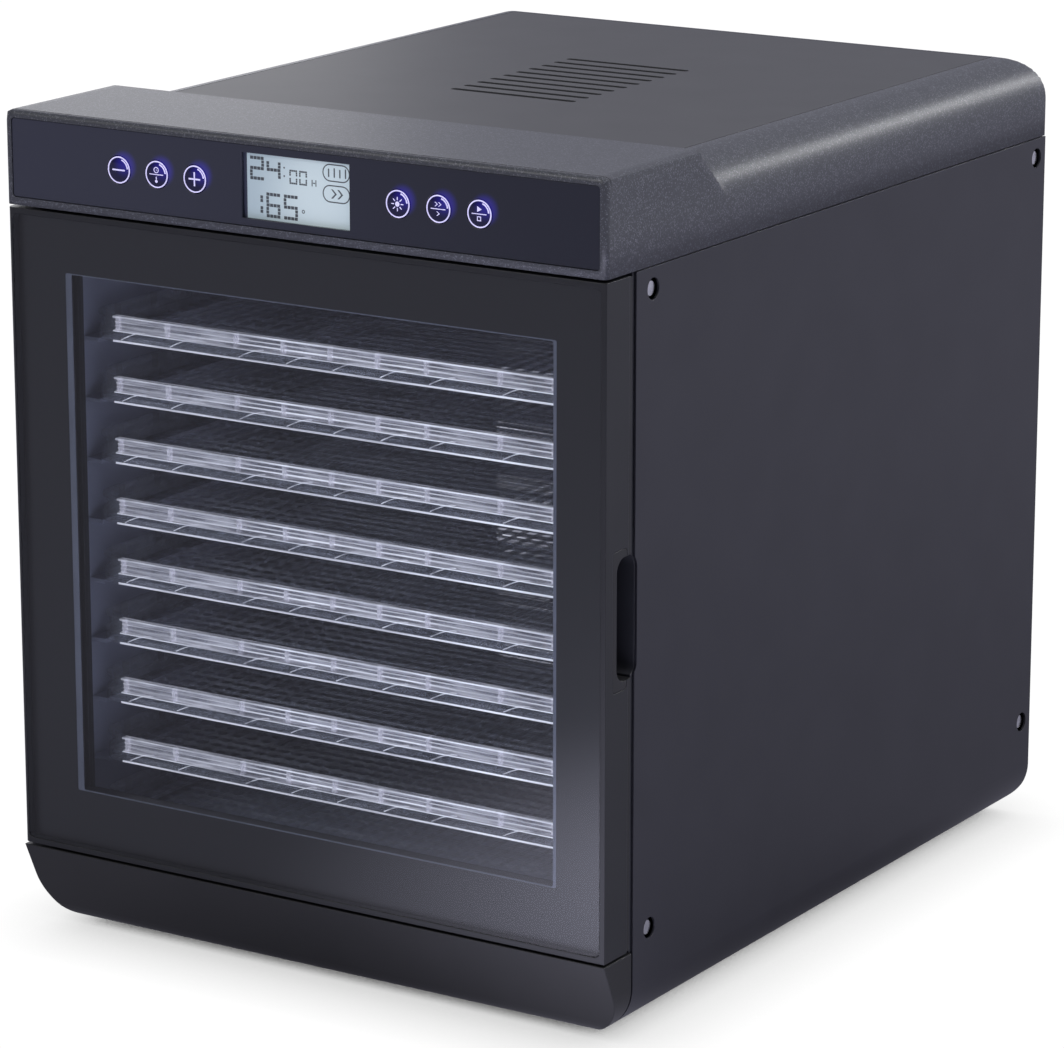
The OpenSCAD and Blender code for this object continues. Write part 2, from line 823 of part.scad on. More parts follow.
// Tray i, counted from the top: a round-cornered rim with an open grid floor
module tray_shape(i) {
    rim = 2;
    floor_t = 2;
    bars_x = 8;
    bars_y = 10;
    bar = 4;
    x = tray_w / 2;
    cell_x = (tray_w - 2 * tray_r - bar) / bars_x;
    cell_y = (tray_d - 2 * tray_r - bar) / bars_y;
    color("#dfe6ea", 0.6) translate([0, tray_front, tray_z(i)]) difference() {
        linear_extrude(tray_h) round_area(-x, 0, x, tray_d, tray_r);
        translate([0, 0, floor_t]) linear_extrude(tray_h)
            round_area(-x + rim, rim, x - rim, tray_d - rim, tray_r - rim);
        for (a = [0:bars_x - 1], b = [0:bars_y - 1])
            translate([-x + tray_r + bar + a * cell_x, tray_r + bar + b * cell_y, -1])
                cube([cell_x - bar, cell_y - bar, floor_t + 2]);
    }
}

module tray_1() { tray_shape(1); }
module tray_2() { tray_shape(2); }
module tray_3() { tray_shape(3); }
module tray_4() { tray_shape(4); }
module tray_5() { tray_shape(5); }
module tray_6() { tray_shape(6); }
module tray_7() { tray_shape(7); }
module tray_8() { tray_shape(8); }
module tray_9() { tray_shape(9); }

base();
side_panel_left();
side_panel_right();
upper_housing();
top_panel();
control_panel();
display();
control_board();
tact_switches();
power_board();
front_frame();
rack_left();
rack_right();
chamber_ceiling();
chamber_floor();
fan_grille();
rear_panel();
fan_motor();
motor_bracket();
heater_frame();
heater_coil();
thermal_cutout();
temperature_sensor();
cord_gland();
wiring();
feet();
side_screws();
rear_screws();
catch_magnets();
hinge_bushes();
door_frame();
door_back();
door_glass();
glass_adhesive();
door_grip();
catch_plates();
hinge_pins();
tray_1();
tray_2();
tray_3();
tray_4();
tray_5();
tray_6();
tray_7();
tray_8();
tray_9();
button_minus();
button_mode();
button_plus();
button_warm();
button_speed();
button_power();
fan_blades();
fan_shaft();
fan_nut();
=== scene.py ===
"""A cabinet food dehydrator: a black machine with a glass door, nine clear trays and a lit key panel.

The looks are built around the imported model, piece by piece, in the order in which it goes together.
Everything is in metres. The door faces -Y and z = 0 is the table top.
"""

import math

import bmesh
import bpy
from mathutils import Matrix, Vector


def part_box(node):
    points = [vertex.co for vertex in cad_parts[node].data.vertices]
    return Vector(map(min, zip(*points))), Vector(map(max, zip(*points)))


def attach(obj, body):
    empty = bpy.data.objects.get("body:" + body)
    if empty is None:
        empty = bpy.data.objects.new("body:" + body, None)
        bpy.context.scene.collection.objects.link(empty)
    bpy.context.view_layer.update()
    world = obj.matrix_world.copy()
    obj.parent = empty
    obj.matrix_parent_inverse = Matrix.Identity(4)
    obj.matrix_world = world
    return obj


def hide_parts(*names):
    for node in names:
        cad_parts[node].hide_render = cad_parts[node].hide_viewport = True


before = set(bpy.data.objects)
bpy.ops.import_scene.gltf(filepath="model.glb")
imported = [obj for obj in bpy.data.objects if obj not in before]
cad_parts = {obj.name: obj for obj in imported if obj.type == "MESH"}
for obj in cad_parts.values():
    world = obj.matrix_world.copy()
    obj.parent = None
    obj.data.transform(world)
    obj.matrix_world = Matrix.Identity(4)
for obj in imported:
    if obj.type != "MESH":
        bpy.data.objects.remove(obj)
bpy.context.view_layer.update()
MM = 0.001
scene = bpy.context.scene

# ---------- camera ----------
# A long lens a little above the head of the machine, off to its right. It aims just
# below the middle of the machine.
camera = bpy.data.objects.new("camera", bpy.data.cameras.new("camera"))
scene.collection.objects.link(camera)
scene.camera = camera


def aim(thing, azimuth, elevation, distance, target):
    """Puts a camera or a lamp on a sphere about target, and points it at target."""
    turn, lift = math.radians(azimuth), math.radians(elevation)
    outward = Vector((math.sin(turn) * math.cos(lift), -math.cos(turn) * math.cos(lift), math.sin(lift)))
    thing.location = Vector(target) + outward * distance
    thing.rotation_euler = outward.to_track_quat("Z", "Y").to_euler()


aim(camera, 32.33, 14.77, 2.4717, (-0.0028, -0.0090, 0.1902))
camera.data.sensor_width = 36
camera.data.lens = 161.2
camera.data.clip_start = 0.1


# ---------- studio ----------
# A seamless white table under soft boxes, which glows rather than takes their light. The camera sees room and
# table as plain white, with a painted contact shadow round the machine, while what the machine mirrors is a
# dim glow, with painted shade under the machine and a painted pool of light before its right corner.
def linear(code):
    """An sRGB hex colour such as "#8a8d92" as linear red, green, blue and 1."""
    parts = [int(code[i:i + 2], 16) / 255 for i in (1, 3, 5)]
    return [p / 12.92 if p <= 0.04045 else ((p + 0.055) / 1.055) ** 2.4 for p in parts] + [1.0]


def add_node(tree, kind, settings=None, links=None):
    """Adds a shader node, sets its properties and sockets, and links its inputs."""
    made = tree.nodes.new("ShaderNode" + kind)
    for name, value in (settings or {}).items():
        if isinstance(name, str) and hasattr(made, name):
            setattr(made, name, value)
        else:
            made.inputs[name].default_value = value
    for name, socket in (links or {}).items():
        tree.links.new(socket, made.inputs[name])
    return made


def ramp(tree, factor, *stops):
    """A colour ramp on factor, whose stops are (position, hex colour)."""
    made = add_node(tree, "ValToRGB", links={"Fac": factor})
    steps = made.color_ramp.elements
    while len(steps) < len(stops):
        steps.new(0.5)
    for step, (place, code) in zip(steps, stops):
        step.position = place
        step.color = linear(code)
    return made.outputs["Color"]


def spread(tree, place, middle, near, far, high, low):
    """A value that falls smoothly from high to low as place goes from near to far away from middle."""
    away = add_node(tree, "VectorMath", {"operation": "DISTANCE", 1: middle}, {0: place})
    return add_node(tree, "MapRange", {"interpolation_type": "SMOOTHSTEP", "From Min": near, "From Max": far,
                                       "To Min": high, "To Max": low},
                    {"Value": away.outputs["Value"]}).outputs["Result"]


def sums(tree, operation, *values):
    """The values joined one after another by a Math node."""
    total = values[0]
    for value in values[1:]:
        total = add_node(tree, "Math", {"operation": operation}, {0: total, 1: value}).outputs["Value"]
    return total


def new_object(name, mesh):
    """An object of that mesh, in the scene."""
    made = bpy.data.objects.new(name, mesh)
    scene.collection.objects.link(made)
    return made


scene.view_settings.view_transform = "Standard"
scene.view_settings.look = "None"

world = bpy.data.worlds.new("studio_room")
scene.world = world
world.use_nodes = True
room = world.node_tree
room.nodes.clear()
room_side = add_node(room, "SeparateXYZ", links={"Vector": add_node(room, "TexCoord").outputs["Generated"]})
ROOM_DIM, ROOM_BRIGHT = 0.16, 0.50
room_shade = add_node(room, "MapRange", {"From Min": -0.25, "From Max": 0.45,
                                         "To Min": ROOM_DIM, "To Max": ROOM_BRIGHT},
                      {"Value": room_side.outputs["Y"]})
room_light = add_node(room, "Background", {"Color": linear("#ebecff")},
                      {"Strength": room_shade.outputs["Result"]})
room_sweep = add_node(room, "Background", {"Color": linear("#ffffff"), "Strength": 1.05})
room_mix = add_node(room, "MixShader", links={
    0: add_node(room, "LightPath").outputs["Is Camera Ray"],
    1: room_light.outputs["Background"],
    2: room_sweep.outputs["Background"]})
add_node(room, "OutputWorld", links={"Surface": room_mix.outputs["Shader"]})

TABLE_R = 6.0
table_mesh = bpy.data.meshes.new("table_top")
shape = bmesh.new()
bmesh.ops.create_circle(shape, cap_ends=True, segments=96, radius=TABLE_R)
shape.to_mesh(table_mesh)
shape.free()
table_top = new_object("table_top", table_mesh)

white_card = bpy.data.materials.new("white_card")
white_card.use_nodes = True
card = white_card.node_tree
card.nodes.clear()
card_place = add_node(card, "TexCoord").outputs["Object"]
# Painted contact shadow: ambient occlusion darkens the white that the camera sees near the machine.
card_shade = add_node(card, "AmbientOcclusion", {"Distance": 0.055, "samples": 8})
SHADOW_SOFT = 0.34
painted_contact_shadow = add_node(card, "Math", {"operation": "POWER", 1: SHADOW_SOFT},
                     {0: card_shade.outputs["AO"]}).outputs["Value"]
# What the machine mirrors: painted shade under the machine, a glow that grows away from it, and a painted
# pool of light before its right corner.
painted_mirrored_glow = sums(card, "MULTIPLY", spread(card, card_place, (0.0, 0.0, 0.0), 0.18, 0.30, 0.5, 1.0), sums(
    card, "ADD",
    spread(card, card_place, (0.0, 0.30, 0.0), 0.30, 1.00, 0.32, 0.44),
    spread(card, card_place, (0.20, -0.52, 0.0), 0.08, 0.38, 2.6, 0.0)))
card_bright = add_node(card, "Math", {"operation": "MULTIPLY", 1: 1.04}, {0: painted_contact_shadow}).outputs["Value"]
card_light = add_node(card, "Emission", {"Color": linear("#e8e7ff")}, {"Strength": painted_mirrored_glow})
card_sweep = add_node(card, "Emission", {"Color": linear("#ffffff")}, {"Strength": card_bright})
card_mix = add_node(card, "MixShader", links={
    0: add_node(card, "LightPath").outputs["Is Camera Ray"],
    1: card_light.outputs["Emission"],
    2: card_sweep.outputs["Emission"]})
add_node(card, "OutputMaterial", links={"Surface": card_mix.outputs["Shader"]})
table_mesh.materials.append(white_card)

SOFT_BOXES = {
    # name: azimuth, elevation, distance, width, height, watts
    "top_box": (20, 80, 1.9, 1.8, 1.6, 3.0),
    "right_box": (100, 42, 2.2, 0.9, 0.9, 24),
    "front_box": (-20, 32, 2.4, 1.2, 1.0, 14),
    "back_left_box": (-132, 17, 1.45, 0.5, 0.4, 1.1),
    "back_right_box": (152, 22, 1.8, 0.35, 0.16, 3.6),
}
for name, (azimuth, elevation, distance, width, height, watts) in SOFT_BOXES.items():
    lamp = bpy.data.lights.new(name, "AREA")
    lamp.shape = "RECTANGLE"
    lamp.size, lamp.size_y = width, height
    lamp.energy = watts
    aim(new_object(name, lamp), azimuth, elevation, distance, (0, 0, 0.25))


# ---------- base and feet ----------
# One black ABS moulding carries the machine. Its mould was spark eroded, which gives a satin
# surface with a fine grain. Four soft rubber feet are pushed into it.
def new_material(name, **settings):
    """A material with one Principled shader, whose constants are set on its own sockets."""
    made = bpy.data.materials.new(name)
    made.use_nodes = True
    shader = made.node_tree.nodes["Principled BSDF"]
    for socket, value in settings.items():
        if isinstance(value, str):
            value = linear(value)
        shader.inputs[socket.replace("_", " ")].default_value = value
    return made, made.node_tree, shader


def grain(tree, shader, size, depth, edge=0.0):
    """Bumps the shader with grains size metres across and depth high, and rounds edges off by edge."""
    place = add_node(tree, "TexCoord").outputs["Object"]
    noise = add_node(tree, "TexNoise", {"Scale": 1 / size, "Detail": 2.0, "Roughness": 0.6},
                     {"Vector": place})
    bump = add_node(tree, "Bump", {"Strength": 0.6, "Distance": depth}, {"Height": noise.outputs["Fac"]})
    if edge:
        rounding = add_node(tree, "Bevel", {"samples": 4, "Radius": edge})
        tree.links.new(rounding.outputs["Normal"], bump.inputs["Normal"])
    tree.links.new(bump.outputs["Normal"], shader.inputs["Normal"])


def mottle(tree, shader, size, dark, light):
    """Drifts the base colour between two hex colours over patches size metres across."""
    place = add_node(tree, "TexCoord").outputs["Object"]
    noise = add_node(tree, "TexNoise", {"Scale": 1 / size, "Detail": 3.0}, {"Vector": place})
    tree.links.new(ramp(tree, noise.outputs["Fac"], (0.3, dark), (0.7, light)), shader.inputs["Base Color"])


def satin(name, dark, light, rough, size=0.8 * MM, depth=0.03 * MM, edge=0.7 * MM, ior=1.52):
    """A moulded or painted satin surface."""
    made, tree, shader = new_material(name, Roughness=rough, IOR=ior)
    mottle(tree, shader, 30 * MM, dark, light)
    grain(tree, shader, size, depth, edge)
    return made


def finish_cad(material, *nodes):
    """Gives CAD nodes their material."""
    for node in nodes:
        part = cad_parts[node]
        part.data.materials.clear()
        part.data.materials.append(material)


finish_cad(satin("moulded_abs_base", "#1d1d1e", "#212122", 0.42, edge=1.2 * MM), "base")
finish_cad(satin("moulded_rubber", "#161617", "#1b1b1c", 0.7), "feet")

# ---------- steel sides ----------
# Folded steel sheets with a smooth black powder coat, whose slight orange peel blurs what it
# mirrors. Nickel plated screws hold them, sunk in round holes.
finish_cad(satin("powder_coated_steel", "#26262d", "#2a2a31", 0.36, 1.6 * MM, 0.010 * MM, 0.4 * MM),
           "side_panel_left", "side_panel_right")


def metal(name, dark, light, rough, size=3 * MM):
    """A bare or plated metal, with patches of two tones size metres across."""
    made, tree, shader = new_material(name, Metallic=1.0, Roughness=rough)
    mottle(tree, shader, size, dark, light)
    grain(tree, shader, 0.4 * MM, 0.004 * MM)
    return made


finish_cad(metal("nickel_plated_steel", "#d6d6d8", "#f0f0f2", 0.20), "side_screws")

# ---------- front frame and chamber ----------
# The frame that the door closes on is black ABS. The lining with its tray ledges is moulded in
# a greyer heat resistant plastic that scatters what light reaches it.
finish_cad(satin("moulded_abs_frame", "#2f3036", "#35363c", 0.45), "front_frame")
finish_cad(satin("moulded_pp_lining", "#8f91a2", "#9a9cad", 0.55),
           "rack_left", "rack_right", "chamber_ceiling", "chamber_floor", "fan_grille")

# ---------- heater, fan and motor ----------
# A nickel chrome winding on a mica ring, round a pressed aluminium fan. The motor hangs on a
# zinc plated bracket, whose zinc shows soft spangles.
finish_cad(satin("pressed_mica", "#b9ad92", "#c9bea4", 0.6, 2 * MM, 0.05 * MM), "heater_frame")
finish_cad(metal("oxidised_nichrome", "#4f433a", "#6c5c50", 0.45), "heater_coil")
finish_cad(metal("pressed_aluminium", "#c3c6ca", "#d2d5d8", 0.32), "fan_blades")
finish_cad(metal("ground_steel", "#a4a6aa", "#b6b8bb", 0.28),
           "fan_shaft", "hinge_pins", "temperature_sensor", "catch_magnets")
finish_cad(metal("turned_brass", "#b8924a", "#c9a45c", 0.28), "fan_nut")
finish_cad(metal("zinc_plated_steel", "#8f9499", "#b0b4b8", 0.42, 7 * MM),
           "fan_motor", "motor_bracket", "thermal_cutout", "catch_plates")

# ---------- electrics ----------
# Glass fibre boards under a green solder mask, moulded component cases, silicone covered
# leads, and the soft rubber gland that the mains lead comes in through.
solder_mask, tree, shader = new_material("green_solder_mask", Roughness=0.3, IOR=1.5)
board_place = add_node(tree, "TexCoord").outputs["Object"]
TRACK = 2.5 * MM
tracks = add_node(tree, "TexVoronoi", {"distance": "MANHATTAN", "feature": "F1", "Scale": 1 / TRACK},
                  {"Vector": board_place})
tree.links.new(ramp(tree, tracks.outputs["Distance"], (0.42, "#17502b"), (0.50, "#2a7142")),
               shader.inputs["Base Color"])
finish_cad(solder_mask, "control_board", "power_board")
finish_cad(satin("moulded_nylon", "#77797d", "#84868a", 0.5), "tact_switches")
finish_cad(satin("silicone_insulation", "#6e1c1c", "#7c2424", 0.5), "wiring")
finish_cad(satin("moulded_rubber_gland", "#151516", "#19191a", 0.65), "cord_gland")
finish_cad(satin("moulded_acetal", "#cfc9b8", "#d9d4c4", 0.4), "hinge_bushes")

# ---------- back ----------
# A flat black ABS cover with louvres for the fan's air, held by black zinc plated screws.
finish_cad(satin("moulded_abs_cover", "#202022", "#242426", 0.45), "rear_panel")
finish_cad(metal("black_zinc_steel", "#2c2c2e", "#3a3a3d", 0.4), "rear_screws")

# ---------- upper housing ----------
# One ABS moulding makes the raised head and the round shoulders that run back from it. Mica
# flake in the plastic gives a fine sparkle, and a crease marks off the rolled front edge.
housing_low, housing_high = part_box("upper_housing")
lid_low, lid_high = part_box("top_panel")
fascia_low, fascia_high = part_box("control_panel")
SHOULDER_R, EDGE_SOFT, ROLL_R, REAR_R = 23 * MM, 5 * MM, 2.5 * MM, 16 * MM
HOUSING_WALL = 2 * MM
LID_GAP = 0.7 * MM
ARC_STEPS = 18
half_w = housing_high.x
corner_x = half_w - SHOULDER_R
corner_z = lid_high.z - SHOULDER_R
crest_y = lid_low.y - 1 * MM
seat_z = lid_low.z - 0.1 * MM


def soft_min(a, b, soft):
    """The smaller of two lengths, with the corner between them rounded over soft."""
    near = max(soft - abs(a - b), 0) / soft
    return min(a, b) - near * near * soft / 4


def arch(y, inset=0.0, dip=0.0, seat=False):
    """Points of one cross section of the housing, from the right lower edge over to the left."""
    fall = max(y - crest_y, 0)
    head_rise = housing_high.z - corner_z - inset - dip - fall
    rear_in = max(y - (housing_high.y - REAR_R), 0)
    drop = REAR_R - math.sqrt(max(REAR_R ** 2 - rear_in ** 2, 0))
    right = [(half_w - inset, housing_low.z)]
    for k in range(ARC_STEPS + 1):
        turn = math.radians(90 * k / ARC_STEPS)
        side = (SHOULDER_R - inset) / max(math.cos(turn), 1e-6)
        over = head_rise / max(math.sin(turn), 1e-6)
        head = soft_min(side, over, EDGE_SOFT) if head_rise > 0 else 0
        reach = head if inset else -soft_min(-SHOULDER_R, -head, 1.6 * MM * math.sin(turn) + 1e-9)
        if drop:
            reach = soft_min(reach, (SHOULDER_R - drop) / max(math.sin(turn), 1e-6), 2 * MM)
        right.append((corner_x + reach * math.cos(turn), corner_z + reach * math.sin(turn)))
    top = right[-1][1]
    floor = seat_z if seat else top
    lid_x = lid_high.x + LID_GAP
    right += [(lid_x, top), (lid_x, floor), (lid_x - 6 * MM, floor)]
    return [(x, y, z) for x, z in right] + [(-x, y, z) for x, z in reversed(right)]


def rounded(low, high, radius, steps=6):
    """Corner points of a rectangle in x and z with round corners, anticlockwise."""
    corners = ((high, high, 0), (low, high, 90), (low, low, 180), (high, low, 270))
    points = []
    for ends_x, ends_z, start in corners:
        x = ends_x[0] + (-radius if ends_x is high else radius)
        z = ends_z[1] + (-radius if ends_z is high else radius)
        for k in range(steps + 1):
            turn = math.radians(start + 90 * k / steps)
            points.append((x + radius * math.cos(turn), z + radius * math.sin(turn)))
    return points


front_y = housing_low.y
sections = []
for k in range(7):
    turn = math.radians(15 * k)
    sections.append(arch(front_y + ROLL_R * (1 - math.cos(turn)), ROLL_R * (1 - math.sin(turn))))
for offset, dip in ((3.1, 0), (3.3, 0.8), (3.9, 0.8), (4.1, 0), (30, 0), (60, 0)):
    sections.append(arch(front_y + offset * MM, dip=dip * MM))
steps_y = [crest_y + k * MM for k in range(-3, 1)] + [lid_low.y - LID_GAP]
sections += [arch(y) for y in steps_y]
seat_start = len(sections)
steps_y = [lid_low.y - LID_GAP] + [crest_y + k * MM for k in range(2, 32)]
steps_y += [crest_y + k * 20 * MM for k in range(2, 17)] + [lid_high.y + LID_GAP]
sections += [arch(y, seat=True) for y in steps_y]
seat_end = len(sections)
rear_start = housing_high.y - REAR_R
steps_y = [lid_high.y + LID_GAP] + [rear_start + REAR_R * math.sin(math.radians(10 * k)) for k in range(10)]
sections += [arch(y) for y in steps_y]

shell = bmesh.new()
rows = [[shell.verts.new(point) for point in section] for section in sections]
middle = len(rows[0]) // 2 - 1
for i in range(len(rows) - 1):
    for j in range(len(rows[0]) - 1):
        if not (j == middle and seat_start < i < seat_end - 2):
            shell.faces.new((rows[i][j], rows[i][j + 1], rows[i + 1][j + 1], rows[i + 1][j]))
shell.faces.new(rows[-1])
hole = rounded((fascia_low.x - 0.2 * MM, fascia_low.z - 0.2 * MM),
               (fascia_high.x + 0.2 * MM, fascia_high.z + 0.2 * MM), 1.8 * MM)
hole_rows = [[shell.verts.new((x, front_y + depth, z)) for x, z in hole] for depth in (0, 0.15 * MM, 4 * MM)]
rim_edges = [shell.edges.new((rows[0][0], rows[0][-1]))]
rim_edges += [shell.edges.get((a, b)) for a, b in zip(rows[0], rows[0][1:])]
for k in range(len(hole)):
    n = (k + 1) % len(hole)
    rim_edges.append(shell.edges.new((hole_rows[0][k], hole_rows[0][n])))
    for near, far in zip(hole_rows, hole_rows[1:]):
        shell.faces.new((near[k], near[n], far[n], far[k]))
bmesh.ops.triangle_fill(shell, use_beauty=True, use_dissolve=False, edges=rim_edges)
bmesh.ops.remove_doubles(shell, verts=shell.verts, dist=0.002 * MM)
bmesh.ops.recalc_face_normals(shell, faces=shell.faces)
housing_mesh = bpy.data.meshes.new("housing_shell")
shell.to_mesh(housing_mesh)
shell.free()


def smooth(mesh, angle=32):
    """Shades a mesh smooth but for edges sharper than angle."""
    mesh.shade_smooth()
    mesh.set_sharp_from_angle(angle=math.radians(angle))


smooth(housing_mesh)
housing = new_object("housing_shell", housing_mesh)
thicken = housing.modifiers.new("wall", "SOLIDIFY")
thicken.thickness = HOUSING_WALL
thicken.offset = -1
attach(housing, "cabinet")
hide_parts("upper_housing")

FLAKE = 0.5 * MM
housing_abs, tree, shader = new_material("moulded_abs_mica", Roughness=0.40, IOR=1.52)
flake_place = add_node(tree, "TexCoord").outputs["Object"]
flakes = add_node(tree, "TexVoronoi", {"Scale": 1 / FLAKE}, {"Vector": flake_place})
flake_tone = add_node(tree, "SeparateColor", links={"Color": flakes.outputs["Color"]}).outputs["Red"]
tree.links.new(ramp(tree, flake_tone, (0.0, "#3f4045"), (0.80, "#484a50"), (1.0, "#75777f")),
               shader.inputs["Base Color"])
grain(tree, shader, 0.9 * MM, 0.03 * MM)
housing_mesh.materials.append(housing_abs)

# ---------- top panel ----------
# A flat ABS plate let into the housing, with ten slots for the warm air. Its grain is finer
# and duller than the housing's.
finish_cad(satin("moulded_abs_fine", "#3f3f41", "#434345", 0.46, 0.7 * MM, 0.02 * MM, 0.35 * MM),
           "top_panel")

# ---------- control fascia ----------
# A bluish black acrylic sheet, printed behind, with holes for six keys and a window for the
# display. Its polished face mirrors the room. Its colour is lighter towards the left end, a painted sheen,
# and a painted violet glow spreads round each lit key.
KEYS = ("minus", "mode", "plus", "warm", "speed", "power")
key_boxes = {key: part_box("button_" + key) for key in KEYS}
key_spots = {key: ((low + high) / 2) for key, (low, high) in key_boxes.items()}
KEY_R = 6.75
KEY_HOLE_R = KEY_R + 0.35
LCD_W, LCD_H = 62.0, 31.6
panel_z = (fascia_low.z + fascia_high.z) / 2


def circle(x, z, radius, steps=40, start=0, sweep=360):
    """Points of a circle or an arc in x and z."""
    count = steps if sweep == 360 else steps + 1
    return [(x + radius * math.cos(math.radians(start + sweep * k / steps)),
             z + radius * math.sin(math.radians(start + sweep * k / steps))) for k in range(count)]


def cut_plate(name, outlines, y0, y1, edge=0.0, origin=(0.0, 0.0)):
    """A plate from y0 to y1, filled between outlines in millimetres about origin. An inner one is a hole."""
    drawn = bpy.data.curves.new(name, "CURVE")
    drawn.dimensions = "2D"
    drawn.fill_mode = "BOTH"
    drawn.extrude = (y1 - y0) / 2 / MM - edge
    drawn.bevel_depth = edge
    drawn.bevel_resolution = 1
    drawn.offset = -edge
    for line in outlines:
        spline = drawn.splines.new("POLY")
        spline.points.add(len(line) - 1)
        for point, (x, z) in zip(spline.points, line):
            point.co = (x, z, 0, 1)
        spline.use_cyclic_u = True
    holder = new_object(name, drawn)
    mesh = bpy.data.meshes.new_from_object(holder.evaluated_get(bpy.context.evaluated_depsgraph_get()))
    bpy.data.objects.remove(holder)
    middle_y = (y0 + y1) / 2
    mesh.transform(Matrix(((MM, 0, 0, origin[0]), (0, 0, -MM, middle_y),
                           (0, MM, 0, origin[1]), (0, 0, 0, 1))))
    mesh.materials.clear()
    return new_object(name, mesh)


def in_mm(points, origin=(0.0, 0.0)):
    """Points in metres as millimetres from origin."""
    return [((x - origin[0]) / MM, (z - origin[1]) / MM) for x, z in points]


fascia_outlines = [in_mm(rounded((fascia_low.x, fascia_low.z), (fascia_high.x, fascia_high.z), 1.5 * MM))]
fascia_outlines += [circle(spot.x / MM, spot.z / MM, KEY_HOLE_R) for spot in key_spots.values()]
lcd_x0, lcd_z0 = -LCD_W / 2, panel_z / MM - LCD_H / 2
fascia_outlines.append([(lcd_x0, lcd_z0), (lcd_x0 + LCD_W, lcd_z0),
                        (lcd_x0 + LCD_W, lcd_z0 + LCD_H), (lcd_x0, lcd_z0 + LCD_H)])
fascia = cut_plate("control_fascia", fascia_outlines, fascia_low.y, fascia_high.y, 0.2)
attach(fascia, "cabinet")
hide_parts("control_panel")

acrylic, tree, shader = new_material("polished_acrylic", Roughness=0.12, IOR=1.49)
fascia_place = add_node(tree, "TexCoord").outputs["Object"]
# Painted sheen: the colour is lighter towards the fascia's left end.
fascia_painted_sheen = spread(tree, fascia_place, (fascia_low.x, fascia_low.y, panel_z), 0.0, 2 * half_w, 1.0, 0.0)
tree.links.new(ramp(tree, fascia_painted_sheen, (0.0, "#232530"), (1.0, "#383a48")), shader.inputs["Base Color"])
# Painted glow: violet light painted into the fascia round each key.
painted_key_glows = [spread(tree, fascia_place, (spot.x + 3.0 * MM, fascia_low.y, spot.z + 2.2 * MM),
                4.0 * MM, 8.5 * MM, 0.16, 0.0) for spot in key_spots.values()]
tree.links.new(sums(tree, "ADD", *painted_key_glows), shader.inputs["Emission Strength"])
shader.inputs["Emission Color"].default_value = linear("#4a35ff")
fascia.data.materials.append(acrylic)

# ---------- display ----------
# A liquid crystal cell lit from behind, in a grey frame a little behind the fascia. Its
# segments are printed grey and broken into dashes by the cell's electrodes.
lcd_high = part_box("display")[1]
LCD_DEPTH = 2.1 * MM
screen_y = fascia_low.y + LCD_DEPTH
lcd_corner = (lcd_x0 * MM, panel_z + LCD_H / 2 * MM)
cell_outline = [(-1.5, -LCD_H - 1.5), (LCD_W + 1.5, -LCD_H - 1.5), (LCD_W + 1.5, 1.5), (-1.5, 1.5)]
cell = cut_plate("lcd_cell", [cell_outline], screen_y, lcd_high.y - 0.2 * MM, 0.0, lcd_corner)
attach(cell, "cabinet")
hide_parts("display")
lcd_glass, tree, shader = new_material("backlit_lcd", Roughness=0.35, IOR=1.5, Emission_Strength=0.32)
lcd_place = add_node(tree, "TexCoord").outputs["Object"]
lcd_light = spread(tree, lcd_place, (0.012, screen_y, panel_z), 5 * MM, 42 * MM, 1.0, 0.0)
lcd_tone = ramp(tree, lcd_light, (0.0, "#a9bac2"), (1.0, "#c9d8db"))
tree.links.new(lcd_tone, shader.inputs["Base Color"])
tree.links.new(lcd_tone, shader.inputs["Emission Color"])
cell.data.materials.append(lcd_glass)

SEGMENTS = {
    # segment: start and end as shares of the digit's width and height, from its lower left
    "a": ((0, 1), (1, 1)), "b": ((1, 1), (1, 0.5)), "c": ((1, 0.5), (1, 0)), "d": ((0, 0), (1, 0)),
    "e": ((0, 0.5), (0, 0)), "f": ((0, 1), (0, 0.5)), "g": ((0, 0.5), (1, 0.5)),
}
DIGITS = {"0": "abcdef", "1": "bc", "2": "abged", "4": "fgbc", "5": "afgcd", "6": "afgecd"}


def dashes(x0, z0, x1, z1, width, count):
    """A straight segment cut into count dashes, each a small rectangle."""
    length = math.hypot(x1 - x0, z1 - z0)
    ux, uz = (x1 - x0) / length, (z1 - z0) / length
    made = []
    for k in range(count):
        near = length * (k + 0.07) / count
        far = length * (k + 0.93) / count
        made.append([(x0 + ux * d - uz * s * width / 2, z0 + uz * d + ux * s * width / 2)
                     for d, s in ((near, -1), (far, -1), (far, 1), (near, 1))])
    return made


def digit(figure, x, z, width, height, weight, count):
    """The dashes of one seven-segment figure whose lower left corner is x, z."""
    made = []
    for part in DIGITS[figure]:
        (ax, az), (bx, bz) = SEGMENTS[part]
        ax, bx = x + ax * width, x + bx * width
        az, bz = z + az * height, z + bz * height
        long = math.hypot(bx - ax, bz - az)
        ux, uz = (bx - ax) / long, (bz - az) / long
        gap = weight * (0.60 if ax == bx else -0.5)
        made += dashes(ax + ux * gap, az + uz * gap, bx - ux * gap, bz - uz * gap, weight,
                       count if ax == bx else 2 * count)
    return made


def bar(x0, z0, x1, z1, width, steps=6):
    """A straight stroke with round ends."""
    turn = math.degrees(math.atan2(z1 - z0, x1 - x0))
    return (circle(x1, z1, width / 2, steps, turn - 90, 180)
            + circle(x0, z0, width / 2, steps, turn + 90, 180))


def bubble(x0, z0, x1, z1, line):
    """A long round outline, line wide."""
    radius = (z1 - z0) / 2
    middle_z = (z0 + z1) / 2
    return [bar(x0 + radius, middle_z, x1 - radius, middle_z, z1 - z0, 14),
            bar(x0 + radius, middle_z, x1 - radius, middle_z, z1 - z0 - 2 * line, 14)]


